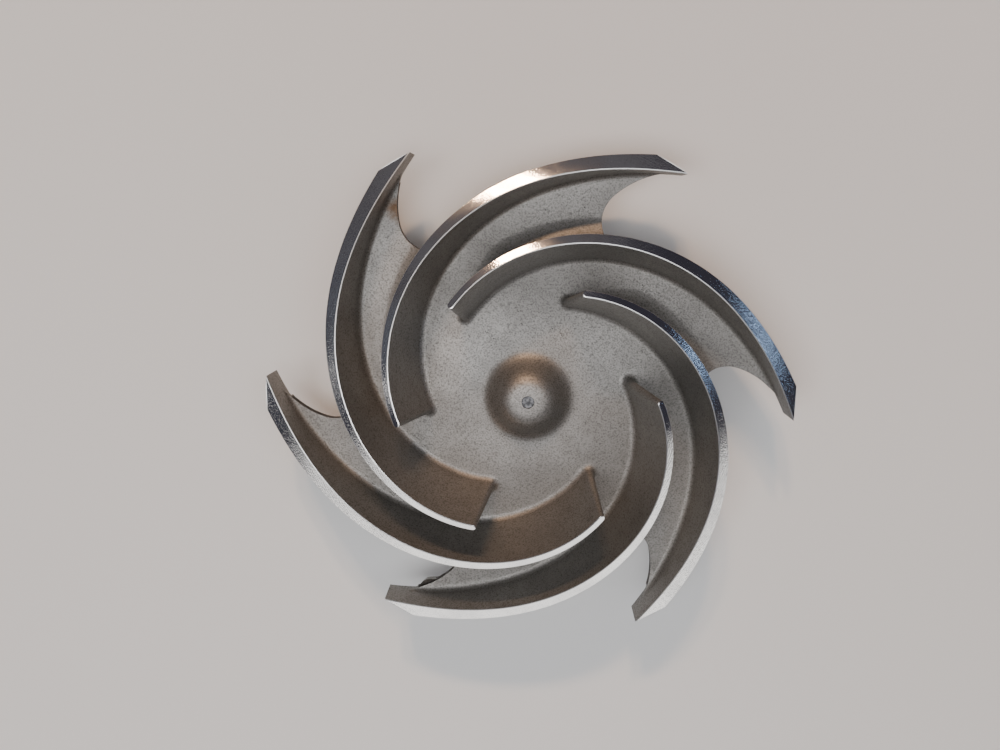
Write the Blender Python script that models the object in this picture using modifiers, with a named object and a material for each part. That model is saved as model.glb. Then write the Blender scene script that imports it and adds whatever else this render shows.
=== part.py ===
"""Open pump impeller: one casting with six backward-curved vanes on a scalloped shroud.

The shaft axis is Z, the suction side faces +Z and the hub's rear face lies on z = 0.
The vanes are lofted between a spiral on the shroud and a spiral on the front cone. Their fillets
are joined to a turned blank and cut by the scallops with it. The vanes follow, and a turned
envelope trims everything, as the real casting is cast and machined.
"""
import bisect
import math

import bmesh
import bpy

# Outside sizes, in metres
OUTER_RADIUS = 0.127
HUB_LENGTH = 0.024
SHROUD_THICKNESS = 0.004
TIP_HEIGHT = 0.017
SHROUD_BACK = HUB_LENGTH
SHROUD_FRONT = SHROUD_BACK + SHROUD_THICKNESS
TIP_FRONT = SHROUD_BACK + TIP_HEIGHT

# Machined front contour: its rise from the outside diameter to the eye, and its hollow
EYE_RADIUS = 0.058
FRONT_RISE = 0.0333
FRONT_BOW = 0.0009

# Shroud front and nose dome
BLANK_RADIUS = 0.119
SHROUD_FLAT_RADIUS = 0.105
SHROUD_INNER_RADIUS = 0.025
SHROUD_RISE = 0.0078
NOSE_HEIGHT = 0.0144
NOSE_RADIUS = 0.0165
NOSE_SHARPNESS = 5.0
CENTRE_MARK_RADIUS = 0.0030
CENTRE_MARK_DEPTH = 0.0008

# Vanes: count, place, inner ends, and blade angle in degrees against radius on both spirals
VANE_COUNT = 6
PITCH = 2.0 * math.pi / VANE_COUNT
FIRST_TIP_ANGLE = math.radians(55.5)
VANE_RUN_OUT = 0.004
FRONT_START = 0.0567
ROOT_START = 0.0462
FRONT_ANGLES = ((0.0567, 18.6), (0.104, 18.8), (0.115, 22.0), (0.127, 27.5))
ROOT_ANGLES = ((0.0462, 18.5), (0.060, 23.5), (0.100, 24.0), (0.127, 28.5))
VANE_THICKNESS_INNER = 0.0031
VANE_THICKNESS_OUTER = 0.0080
ROOT_DRAFT = 0.0012
NOSE_LENGTH = 0.0022

# Cast fillets at the vanes' feet: even on the concave side and round the nose, and growing
# between two root radii on the convex side into a broad flank, blunter than a round fillet
FILLET_RADIUS = 0.0026
FLANK_SPREAD = 0.0145
FLANK_RISE = 0.0085
FLANK_BLUNTNESS = 1.4
FLANK_FROM = 0.0465
FLANK_TO = 0.058
FILLET_TURNS = (math.radians(0.0), math.radians(32.0), math.radians(62.0))
FILLET_SINK = 0.0002
FILLET_TOP_INSET = 0.0007
FILLET_AHEAD = (0.75, 0.30, 0.0)

# Scallop between two vanes, in the frame of a vane whose tip lies on +X
SCALLOP_CENTRE = (0.0970, 0.0052)
SCALLOP_RADIUS = 0.0163
SCALLOP_OUTER_RADIUS = 0.0442
SCALLOP_TURN = math.radians(75.0)
SCALLOP_END = math.radians(184.0)
SCALLOP_START = math.radians(44.0)

# Rear side: hub boss, threaded bore and pump-out vanes
HUB_RADIUS = 0.027
HUB_ROOT_RADIUS = 0.034
HUB_CHAMFER = 0.001
BORE_RADIUS = 0.0125
BORE_DEPTH = 0.034
SEAT_RADIUS = 0.0165
SEAT_DEPTH = 0.005
DRILL_CONE_DEPTH = 0.006
PUMP_OUT_HEIGHT = 0.005
PUMP_OUT_WIDTH = 0.0075
PUMP_OUT_INNER = 0.044
PUMP_OUT_OUTER = 0.1183
LONG_PUMP_OUT_OUTER = 0.1209
LONG_PUMP_OUT_COPY = 3
PUMP_OUT_BLUNTNESS = 12
PUMP_OUT_END_WIDTH = 0.2

# Fineness of the solids
TURNED_STEPS = 60
ENVELOPE_STEPS = 120
VANE_STATIONS = 18
NOSE_STATIONS = 2
NOSE_FIRST_TURN = math.radians(18.0)
PUMP_OUT_STATIONS = 8
PROFILE_POINTS = 11
PROFILE_CROWDING = 1.25
HUB_BEND_POINTS = 4
ARC_POINTS = 7
SPIRAL_STEPS = 60
SPARE = 0.002
MERGE_DISTANCE = 0.00001


def front_contour(radius):
    """Height of the machined vane fronts at a radius."""
    inward = (OUTER_RADIUS - radius) / (OUTER_RADIUS - EYE_RADIUS)
    return TIP_FRONT + FRONT_RISE * inward - 4.0 * FRONT_BOW * inward * (1.0 - inward)


def shroud_surface(radius):
    """Height of the shroud's front face at a radius, with the nose dome at the centre."""
    span = SHROUD_FLAT_RADIUS - SHROUD_INNER_RADIUS
    across = min(max((radius - SHROUD_INNER_RADIUS) / span, 0.0), 1.0)
    rise = SHROUD_RISE * 0.5 * (1.0 + math.cos(math.pi * across))
    dome = NOSE_HEIGHT * math.exp(-((radius / NOSE_RADIUS) ** NOSE_SHARPNESS))
    return SHROUD_FRONT + rise + dome


def blade_angle(radius, stations):
    """Blade angle from the tangent, in radians, read between the driving stations."""
    radii = [station[0] for station in stations]
    if radius <= radii[0]:
        return math.radians(stations[0][1])
    if radius >= radii[-1]:
        return math.radians(stations[-1][1])
    index = bisect.bisect_right(radii, radius)
    low, high = stations[index - 1], stations[index]
    share = (radius - low[0]) / (high[0] - low[0])
    return math.radians(low[1] + share * (high[1] - low[1]))


def spiral_angle(radius, stations):
    """Angle round the axis of a spiral that ends at angle 0 on the outside diameter."""
    step = (OUTER_RADIUS - radius) / SPIRAL_STEPS
    total = 0.0
    for index in range(SPIRAL_STEPS):
        middle = radius + (index + 0.5) * step
        total += step / (middle * math.tan(blade_angle(middle, stations)))
    return total


def spiral_point(radius, stations):
    """Point on a spiral and its unit normal away from the axis, as (x, y, nx, ny)."""
    angle = spiral_angle(radius, stations)
    lean = angle + blade_angle(radius, stations)
    return radius * math.cos(angle), radius * math.sin(angle), math.cos(lean), math.sin(lean)


def nose_share():
    """Place along a vane, from 0 at its leading edge, where its rounded nose ends."""
    slope = math.sin(math.radians(FRONT_ANGLES[0][1]))
    return NOSE_LENGTH * slope / (OUTER_RADIUS + VANE_RUN_OUT - FRONT_START)


def shares_behind_nose():
    """Places along a vane from the end of its nose to its run-out."""
    first = nose_share()
    return [first + (1.0 - first) * index / VANE_STATIONS for index in range(VANE_STATIONS + 1)]


def vane_guides(share):
    """Root and front guide points of a vane at one place, and a function for points on its walls."""
    outer = OUTER_RADIUS + VANE_RUN_OUT
    front_radius = FRONT_START + share * (outer - FRONT_START)
    root_radius = ROOT_START + share * (outer - ROOT_START)
    fx, fy, fnx, fny = spiral_point(front_radius, FRONT_ANGLES)
    wx, wy, wnx, wny = spiral_point(root_radius, ROOT_ANGLES)
    front_z = front_contour(front_radius)
    root_z = shroud_surface(root_radius)
    thickness = VANE_THICKNESS_INNER + share * (VANE_THICKNESS_OUTER - VANE_THICKNESS_INNER)
    draft = ROOT_DRAFT * (1.0 - share)

    def wall(height, side, width_factor, spread=0.0):
        """Point beside one wall: side is -1 on the concave wall and 1 on the convex wall."""
        up = (height - root_z) / (front_z - root_z)
        half = 0.5 * (thickness + draft * (1.0 - up))
        reach = half + side * (half + spread) * width_factor
        x = wx + (fx - wx) * up + (wnx + (fnx - wnx) * up) * reach
        y = wy + (fy - wy) * up + (wny + (fny - wny) * up) * reach
        return x, y, height

    return root_radius, root_z, front_z, wall


def vane_section(share, width_factor):
    """Closed section of a rough vane at one place, taller than the finished one."""
    front_z, wall = vane_guides(share)[2:]
    low, high = SHROUD_BACK - SPARE, front_z + SPARE
    return [wall(low, -1.0, width_factor), wall(high, -1.0, width_factor),
            wall(high, 1.0, width_factor), wall(low, 1.0, width_factor)]


def foot_shape(side, root_radius):
    """Spread, rise and bluntness of a foot: round on the concave side, -1, a flank on the convex, 1."""
    if side < 0.0:
        return FILLET_RADIUS, FILLET_RADIUS, 1.0
    share = (root_radius - FLANK_FROM) / (FLANK_TO - FLANK_FROM)
    share = min(max(share, 0.0), 1.0)
    growth = share * share * (3.0 - 2.0 * share)
    return (FILLET_RADIUS + growth * (FLANK_SPREAD - FILLET_RADIUS),
            FILLET_RADIUS + growth * (FLANK_RISE - FILLET_RADIUS),
            1.0 + growth * (FLANK_BLUNTNESS - 1.0))


def foot_section(share, width_factor, rise_factor):
    """Closed section of the fillets at a vane's foot, which start in the shroud and end in the vane."""
    root_radius, root_z, _, wall = vane_guides(share)

    def chain(side):
        """Points of one side, from inside the shroud up to inside the vane."""
        spread, height, bluntness = foot_shape(side, root_radius)
        x, y, _ = wall(root_z, side, width_factor, spread)
        points = [(x, y, SHROUD_BACK + 0.5 * SHROUD_THICKNESS)]
        for turn in FILLET_TURNS:
            rise = height * (1.0 - math.cos(turn) ** bluntness) * rise_factor
            reach = spread * (1.0 - math.sin(turn) ** bluntness)
            x, y, _ = wall(root_z + rise, side, width_factor, reach)
            points.append((x, y, shroud_surface(math.hypot(x, y)) + rise - FILLET_SINK))
        x, y, _ = wall(root_z + height, side, width_factor, -FILLET_TOP_INSET)
        points.append((x, y, shroud_surface(math.hypot(x, y)) + height * rise_factor))
        return points

    return chain(-1.0) + chain(1.0)[::-1]


def turn_point(point, angle):
    """Point turned round the shaft axis."""
    x, y, z = point
    return (
        x * math.cos(angle) - y * math.sin(angle),
        x * math.sin(angle) + y * math.cos(angle),
        z,
    )


def loft_copies(name, sections, copies=range(VANE_COUNT)):
    """One mesh with a closed loft through the sections for every given vane position."""
    form = bmesh.new()
    for copy in copies:
        angle = FIRST_TIP_ANGLE + copy * PITCH
        rings = [[form.verts.new(turn_point(p, angle)) for p in section] for section in sections]
        for ring, following in zip(rings, rings[1:]):
            for index in range(len(ring)):
                after = (index + 1) % len(ring)
                form.faces.new((ring[index], ring[after], following[after], following[index]))
        form.faces.new(rings[0][::-1])
        form.faces.new(rings[-1])
    bmesh.ops.recalc_face_normals(form, faces=form.faces)
    mesh = bpy.data.meshes.new(name)
    form.to_mesh(mesh)
    form.free()
    return mesh


def vane_mesh():
    """The six rough vanes, taller and longer than the finished ones."""
    sections = []
    for index in range(NOSE_STATIONS):
        turn = NOSE_FIRST_TURN + (0.5 * math.pi - NOSE_FIRST_TURN) * index / NOSE_STATIONS
        sections.append(vane_section(nose_share() * (1.0 - math.cos(turn)), math.sin(turn)))
    sections += [vane_section(share, 1.0) for share in shares_behind_nose()]
    return loft_copies("rough_vanes", sections)


def foot_mesh():
    """The fillets at the feet of the six vanes, which wrap round the rounded noses."""
    per_metre = math.sin(math.radians(ROOT_ANGLES[0][1])) / (OUTER_RADIUS + VANE_RUN_OUT - ROOT_START)
    sections = []
    for ahead in FILLET_AHEAD:
        distance = ahead * FILLET_RADIUS
        rise_factor = 1.0 - math.sqrt(1.0 - (1.0 - ahead) ** 2)
        width_factor = math.sqrt(1.0 - ((NOSE_LENGTH + distance) / (NOSE_LENGTH + FILLET_RADIUS)) ** 2)
        sections.append(foot_section(-distance * per_metre, width_factor, rise_factor))
    sections += [foot_section(share, 1.0, 1.0) for share in shares_behind_nose()]
    return loft_copies("vane_fillets", sections)


def pump_out_mesh(name, outer, copies):
    """Curved ribs on the shroud's rear face, behind the given vanes and out to a radius."""
    sections = []
    for index in range(PUMP_OUT_STATIONS + 1):
        share = 0.5 * (1.0 - math.cos(math.pi * index / PUMP_OUT_STATIONS))
        radius = PUMP_OUT_INNER + share * (outer - PUMP_OUT_INNER)
        x, y, nx, ny = spiral_point(radius, ROOT_ANGLES)
        rounding = math.sqrt(max(1.0 - (2.0 * share - 1.0) ** PUMP_OUT_BLUNTNESS, PUMP_OUT_END_WIDTH**2))
        half = 0.5 * PUMP_OUT_WIDTH * rounding
        low = SHROUD_BACK - PUMP_OUT_HEIGHT
        high = SHROUD_BACK + 0.5 * SHROUD_THICKNESS
        sections.append([
            (x - nx * half, y - ny * half, low), (x - nx * half, y - ny * half, high),
            (x + nx * half, y + ny * half, high), (x + nx * half, y + ny * half, low),
        ])
    return loft_copies(name, sections, copies)


def scallop_outline():
    """Outline of the opening between two vanes, in the frame of the vane with its tip on +X."""
    cx, cy = SCALLOP_CENTRE
    reach = SCALLOP_RADIUS - SCALLOP_OUTER_RADIUS
    ox = cx + reach * math.cos(SCALLOP_TURN)
    oy = cy + reach * math.sin(SCALLOP_TURN)
    points = []
    for index in range(ARC_POINTS):
        angle = SCALLOP_START + (SCALLOP_TURN - SCALLOP_START) * index / ARC_POINTS
        points.append((ox + SCALLOP_OUTER_RADIUS * math.cos(angle),
                       oy + SCALLOP_OUTER_RADIUS * math.sin(angle)))
    for index in range(2 * ARC_POINTS + 1):
        angle = SCALLOP_TURN + (SCALLOP_END - SCALLOP_TURN) * index / (2 * ARC_POINTS)
        points.append((cx + SCALLOP_RADIUS * math.cos(angle), cy + SCALLOP_RADIUS * math.sin(angle)))
    inner = math.hypot(*points[-1])
    outer = BLANK_RADIUS + SPARE
    for index in range(1, 2 * ARC_POINTS + 1):
        radius = inner + (outer - inner) * index / (2 * ARC_POINTS)
        x, y, nx, ny = spiral_point(radius, ROOT_ANGLES)
        half = 0.5 * VANE_THICKNESS_INNER + 0.5 * ROOT_DRAFT
        points.append(turn_point((x + nx * half, y + ny * half, 0.0), -PITCH)[:2])
    first = math.atan2(points[-1][1], points[-1][0])
    last = math.atan2(points[0][1], points[0][0])
    outside = OUTER_RADIUS + SPARE
    for index in range(2 * ARC_POINTS + 1):
        angle = first + (last - first) * index / (2 * ARC_POINTS)
        points.append((outside * math.cos(angle), outside * math.sin(angle)))
    return points


def scallop_mesh():
    """Six upright prisms that open the shroud between the vanes."""
    outline = scallop_outline()
    form = bmesh.new()
    low = SHROUD_BACK - 2.0 * SPARE
    high = SHROUD_FRONT + SHROUD_RISE + FLANK_RISE
    for copy in range(VANE_COUNT):
        angle = FIRST_TIP_ANGLE + copy * PITCH
        floor = [form.verts.new(turn_point((x, y, low), angle)) for x, y in outline]
        face = form.faces.new(floor)
        raised = bmesh.ops.extrude_face_region(form, geom=[face])["geom"]
        lifted = [part for part in raised if isinstance(part, bmesh.types.BMVert)]
        bmesh.ops.translate(form, verts=lifted, vec=(0.0, 0.0, high - low))
    bmesh.ops.recalc_face_normals(form, faces=form.faces)
    mesh = bpy.data.meshes.new("scallop_openings")
    form.to_mesh(mesh)
    form.free()
    return mesh


def blank_profile():
    """Half section of the rough casting blank, from the nose down its outer side to the axis."""
    points = [(0.0, shroud_surface(0.0))]
    for index in range(1, PROFILE_POINTS + 1):
        radius = BLANK_RADIUS * (index / PROFILE_POINTS) ** PROFILE_CROWDING
        points.append((radius, shroud_surface(radius)))
    points.append((BLANK_RADIUS, SHROUD_BACK - SPARE))
    points.append((HUB_ROOT_RADIUS + 2.0 * SPARE, SHROUD_BACK - SPARE))
    points.append((HUB_RADIUS + 2.0 * SPARE, SHROUD_BACK - 4.0 * SPARE))
    points.append((HUB_RADIUS + 2.0 * SPARE, -SPARE))
    points.append((0.0, -SPARE))
    return points


def envelope_profile():
    """Half section of everything the finished impeller stays inside, top to bottom."""
    eye = EYE_RADIUS - 4.0 * SPARE
    points = [(0.0, front_contour(eye)), (eye, front_contour(eye))]
    for index in range(1, PROFILE_POINTS + 1):
        radius = eye + (OUTER_RADIUS - eye) * index / PROFILE_POINTS
        points.append((radius, front_contour(radius)))
    points.append((OUTER_RADIUS, SHROUD_BACK))
    bend = HUB_ROOT_RADIUS - HUB_RADIUS
    for index in range(HUB_BEND_POINTS + 1):
        turn = 0.5 * math.pi * index / HUB_BEND_POINTS
        points.append((HUB_ROOT_RADIUS - bend * math.sin(turn),
                       SHROUD_BACK - bend * (1.0 - math.cos(turn))))
    points.append((HUB_RADIUS, HUB_CHAMFER))
    points.append((HUB_RADIUS - HUB_CHAMFER, 0.0))
    points.append((0.0, 0.0))
    return points


def bore_profile():
    """Half section of the blind bore and its gasket seat, top to bottom."""
    return [
        (0.0, BORE_DEPTH + DRILL_CONE_DEPTH), (BORE_RADIUS, BORE_DEPTH), (BORE_RADIUS, SEAT_DEPTH),
        (SEAT_RADIUS, SEAT_DEPTH), (SEAT_RADIUS, -2.0 * SPARE), (0.0, -2.0 * SPARE),
    ]


def centre_mark_profile():
    """Half section of the small centre mark in the nose, top to bottom."""
    top = shroud_surface(0.0)
    return [
        (0.0, top + SPARE), (CENTRE_MARK_RADIUS, top + SPARE),
        (CENTRE_MARK_RADIUS, top - CENTRE_MARK_DEPTH), (0.0, top - CENTRE_MARK_DEPTH),
    ]


def turned_object(name, profile, collection, steps=TURNED_STEPS):
    """Object whose Screw modifier turns a half section round the shaft axis."""
    mesh = bpy.data.meshes.new(name)
    edges = [(index, index + 1) for index in range(len(profile) - 1)]
    mesh.from_pydata([(radius, 0.0, height) for radius, height in profile], edges, [])
    thing = bpy.data.objects.new(name, mesh)
    collection.objects.link(thing)
    screw = thing.modifiers.new("Turned", "SCREW")
    screw.steps = steps
    screw.render_steps = steps
    screw.use_merge_vertices = True
    screw.merge_threshold = MERGE_DISTANCE
    return thing


def mesh_object(name, mesh, collection):
    """Object for a ready mesh."""
    thing = bpy.data.objects.new(name, mesh)
    collection.objects.link(thing)
    return thing


def as_tool(thing):
    """Marks an object as a tool of the Boolean steps that is not part of the model."""
    thing.hide_render = True
    thing.display_type = "WIRE"
    return thing


def combine(target, tool, operation):
    """Adds an exact Boolean step to the target."""
    step = target.modifiers.new(f"{operation.title()} {tool.name}", "BOOLEAN")
    step.operation = operation
    step.solver = "EXACT"
    step.object = tool


def stainless_material():
    """Satin cast stainless steel."""
    material = bpy.data.materials.new("cast_stainless_steel")
    material.use_nodes = True
    shader = material.node_tree.nodes["Principled BSDF"]
    shader.inputs["Base Color"].default_value = (0.45, 0.43, 0.41, 1.0)
    shader.inputs["Metallic"].default_value = 1.0
    shader.inputs["Roughness"].default_value = 0.42
    return material


def clear_scene():
    """Removes every object of the open scene."""
    for thing in list(bpy.data.objects):
        bpy.data.objects.remove(thing, do_unlink=True)


def new_collection(name):
    """Collection linked to the scene."""
    collection = bpy.data.collections.new(name)
    bpy.context.scene.collection.children.link(collection)
    return collection


def build_impeller():
    """Builds the impeller casting from its blank, vanes and cuts."""
    parts = new_collection("pump_impeller")
    tools = new_collection("boolean_tools")
    casting = turned_object("impeller_casting", blank_profile(), parts)
    casting.data.materials.append(stainless_material())
    fillets = as_tool(mesh_object("vane_fillets", foot_mesh(), tools))
    scallops = as_tool(mesh_object("scallop_openings", scallop_mesh(), tools))
    vanes = as_tool(mesh_object("rough_vanes", vane_mesh(), tools))
    envelope = as_tool(turned_object("machined_envelope", envelope_profile(), tools, ENVELOPE_STEPS))
    even = [copy for copy in range(VANE_COUNT) if copy != LONG_PUMP_OUT_COPY]
    ribs = pump_out_mesh("rough_pump_out_vanes", PUMP_OUT_OUTER, even)
    long_rib = pump_out_mesh("long_pump_out_vane", LONG_PUMP_OUT_OUTER, [LONG_PUMP_OUT_COPY])
    pump_out = as_tool(mesh_object(ribs.name, ribs, tools))
    long_pump_out = as_tool(mesh_object(long_rib.name, long_rib, tools))
    bore = as_tool(turned_object("threaded_bore", bore_profile(), tools))
    mark = as_tool(turned_object("centre_mark", centre_mark_profile(), tools))
    combine(casting, fillets, "UNION")
    combine(casting, scallops, "DIFFERENCE")
    combine(casting, vanes, "UNION")
    combine(casting, envelope, "INTERSECT")
    combine(casting, pump_out, "UNION")
    combine(casting, long_pump_out, "UNION")
    combine(casting, bore, "DIFFERENCE")
    combine(casting, mark, "DIFFERENCE")
    return casting


def main():
    """Clears the scene and builds the part."""
    clear_scene()
    build_impeller()


main()
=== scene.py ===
"""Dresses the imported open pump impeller: a satin stainless casting with bright machined vane fronts.

Lengths are in metres in the frame's own axes: the shaft axis is Z and the suction side faces +Z.
"""
import bisect
import logging
import math
from contextlib import contextmanager
from dataclasses import dataclass, field
from enum import Enum, IntEnum
from typing import Callable, Iterator, Sequence

import bmesh
import bpy
from mathutils import Matrix, Vector


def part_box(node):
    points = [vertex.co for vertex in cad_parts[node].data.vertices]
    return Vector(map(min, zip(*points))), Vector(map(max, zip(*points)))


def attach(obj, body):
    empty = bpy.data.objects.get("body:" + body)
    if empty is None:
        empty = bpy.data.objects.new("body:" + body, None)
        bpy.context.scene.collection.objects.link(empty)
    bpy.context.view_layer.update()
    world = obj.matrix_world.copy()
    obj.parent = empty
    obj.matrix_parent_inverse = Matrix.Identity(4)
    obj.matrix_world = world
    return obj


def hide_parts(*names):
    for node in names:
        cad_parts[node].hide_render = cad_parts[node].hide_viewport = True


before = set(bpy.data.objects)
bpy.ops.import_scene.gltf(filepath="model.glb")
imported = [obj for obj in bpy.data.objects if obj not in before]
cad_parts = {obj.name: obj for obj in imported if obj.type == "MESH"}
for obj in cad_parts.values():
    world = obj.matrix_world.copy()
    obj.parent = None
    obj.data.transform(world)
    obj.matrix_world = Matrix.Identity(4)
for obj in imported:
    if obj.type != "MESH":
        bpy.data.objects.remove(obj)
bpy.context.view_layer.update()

CASTING_NODE = "impeller_casting"
BODY = "root"
RIM_INSET = 0.00003
LOG = logging.getLogger("impeller")

Flat = tuple[float, float]
Point = tuple[float, float, float]
Ring = list[Point]
Colour = tuple[float, float, float, float]
Test = Callable[[Vector, Vector], bool]


class Side(Enum):
    """The two walls of a vane, by the sign of their offset from the camber line."""

    CONCAVE = -1.0
    CONVEX = 1.0


class Cut(Enum):
    """How one solid is combined with another."""

    JOIN = "UNION"
    REMOVE = "DIFFERENCE"


class Slot(IntEnum):
    """The casting's material slots, in order."""

    CAST = 0
    MACHINED = 1
    MARK = 2
    EDGE_LINE = 3
    CUT_EDGE = 4


def smooth_step(value: float, low: float, high: float) -> float:
    """Rises smoothly from 0 at low to 1 at high.

    Args:
        value: The number to place between the limits.
        low: Where the rise starts.
        high: Where the rise ends.

    Returns:
        The smooth share of the way from low to high.
    """
    share = min(max((value - low) / (high - low), 0.0), 1.0)
    return share * share * (3.0 - 2.0 * share)


@dataclass
class BladeLaw:
    """A spiral round the shaft axis, given by its blade angle against radius.

    Attributes:
        stations: Pairs of a radius and the angle from the tangent there, in degrees.
        outer: Radius at which the spiral is at angle zero.
        innermost: Smallest radius that is asked for.
        outermost: Largest radius that is asked for.
        steps: Number of small steps in which the turn is summed.
    """

    stations: tuple[Flat, ...]
    outer: float
    innermost: float = 0.040
    outermost: float = 0.136
    steps: int = 2400
    turned: list[float] = field(init=False, repr=False)
    step: float = field(init=False)
    datum: float = field(init=False)

    def __post_init__(self) -> None:
        """Sums the turn of the spiral from the innermost radius outwards."""
        self.step = (self.outermost - self.innermost) / self.steps
        self.turned = [0.0]
        for index in range(self.steps):
            middle = self.innermost + (index + 0.5) * self.step
            self.turned.append(self.turned[-1] + self.step / (middle * math.tan(self.slope(middle))))
        self.datum = self.turn(self.outer)

    def slope(self, radius: float) -> float:
        """Blade angle in radians at a radius."""
        radii = [station[0] for station in self.stations]
        if radius <= radii[0]:
            return math.radians(self.stations[0][1])
        if radius >= radii[-1]:
            return math.radians(self.stations[-1][1])
        index = bisect.bisect_right(radii, radius)
        low, high = self.stations[index - 1], self.stations[index]
        share = (radius - low[0]) / (high[0] - low[0])
        return math.radians(low[1] + share * (high[1] - low[1]))

    def turn(self, radius: float) -> float:
        """Turn in radians from the innermost radius out to a radius."""
        place = min(max((radius - self.innermost) / self.step, 0.0), self.steps - 1.0)
        index = int(place)
        return self.turned[index] + (place - index) * (self.turned[index + 1] - self.turned[index])

    def place(self, radius: float) -> tuple[Vector, Vector]:
        """Finds a point of the spiral.

        Args:
            radius: Distance of the point from the shaft axis.

        Returns:
            The point and the unit normal that points away from the axis, both in the plane.
        """
        angle = self.datum - self.turn(radius)
        lean = angle + self.slope(radius)
        point = Vector((radius * math.cos(angle), radius * math.sin(angle)))
        return point, Vector((math.cos(lean), math.sin(lean)))


@dataclass(frozen=True)
class Contours:
    """The turned surfaces that the whole impeller shares, with heights above the hub's rear face."""

    outer_radius: float = 0.5 * (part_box(CASTING_NODE)[1].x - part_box(CASTING_NODE)[0].x) - RIM_INSET
    shroud_back: float = 0.024
    shroud_thickness: float = 0.004
    tip_height: float = 0.017
    eye_radius: float = 0.058
    front_rise: float = 0.0333
    front_bow: float = 0.0009
    blank_radius: float = 0.119
    flat_radius: float = 0.105
    inner_radius: float = 0.025
    shroud_rise: float = 0.0078
    nose_height: float = 0.0144
    nose_radius: float = 0.0165
    nose_sharpness: float = 5.0
    vane_count: int = 6
    first_tip: float = math.radians(55.5)

    @property
    def shroud_front(self) -> float:
        """Height of the shroud's front face at its rim."""
        return self.shroud_back + self.shroud_thickness

    @property
    def tip_front(self) -> float:
        """Height of the vane fronts at the outside diameter."""
        return self.shroud_back + self.tip_height

    def front(self, radius: float) -> float:
        """Height of the machined vane fronts at a radius."""
        inward = (self.outer_radius - radius) / (self.outer_radius - self.eye_radius)
        hollow = 4.0 * self.front_bow * inward * (1.0 - inward)
        return self.tip_front + self.front_rise * inward - hollow

    def shroud(self, radius: float) -> float:
        """Height of the shroud's front face at a radius, with the nose at the centre."""
        across = (radius - self.inner_radius) / (self.flat_radius - self.inner_radius)
        across = min(max(across, 0.0), 1.0)
        rise = self.shroud_rise * 0.5 * (1.0 + math.cos(math.pi * across))
        dome = self.nose_height * math.exp(-((radius / self.nose_radius) ** self.nose_sharpness))
        return self.shroud_front + rise + dome

    def turns(self) -> list[Matrix]:
        """Rotation about the shaft axis for every vane."""
        pitch = 2.0 * math.pi / self.vane_count
        return [Matrix.Rotation(self.first_tip + pitch * k, 4, "Z") for k in range(self.vane_count)]


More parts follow.
